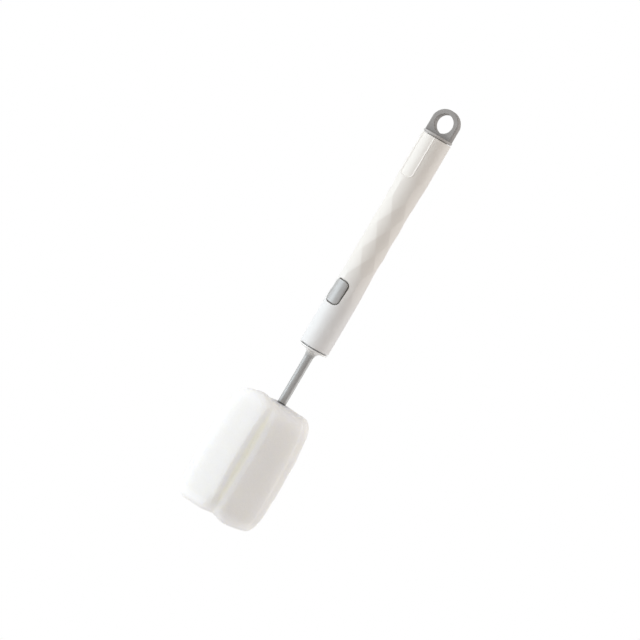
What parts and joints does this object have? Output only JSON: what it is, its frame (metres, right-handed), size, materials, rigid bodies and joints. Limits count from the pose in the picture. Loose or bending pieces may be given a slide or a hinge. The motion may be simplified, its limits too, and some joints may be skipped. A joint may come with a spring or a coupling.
{
  "type": "bottle brush",
  "caption": "Bottle brush: hollow faceted handle with a hanging loop, and a lobed foam head on a thin stem that plugs into the handle and is let go by a push button.",
  "frame": {"origin": "centre of the hanging hole, halfway through the loop", "axes": "+Z along the handle towards the loop's end, +Y through the hanging hole to the back, so the button faces -Y"},
  "size_m": [0.0578, 0.0586, 0.3062],
  "materials": {
    "handle_white": "satin moulded",
    "trim_grey": "satin moulded",
    "inner_natural": "natural, self-lubricating",
    "spring_steel": "drawn wire",
    "foam_white": "fine open-cell foam"
  },
  "bodies": {
    "handle": {"handle_shell": "handle_white", "hang_loop_cap": "trim_grey", "stem_socket": "inner_natural", "latch_spring": "spring_steel"},
    "button": {"release_button": "trim_grey", "latch_plate": "inner_natural"},
    "brush_head": {"brush_stem": "trim_grey", "sponge_head": "foam_white"}
  },
  "joints": [
    {"name": "button_press", "type": "slide", "parent": "handle", "child": "button", "axis": [0, 1, 0], "range_m": [0, 0.002], "stiffness_N_per_m": 600, "springref_m": -0.002, "deforming": ["latch_spring"]},
    {"name": "head_release", "type": "slide", "parent": "handle", "child": "brush_head", "axis": [0, 0, -1], "range_m": [0, 0.05]}
  ]
}
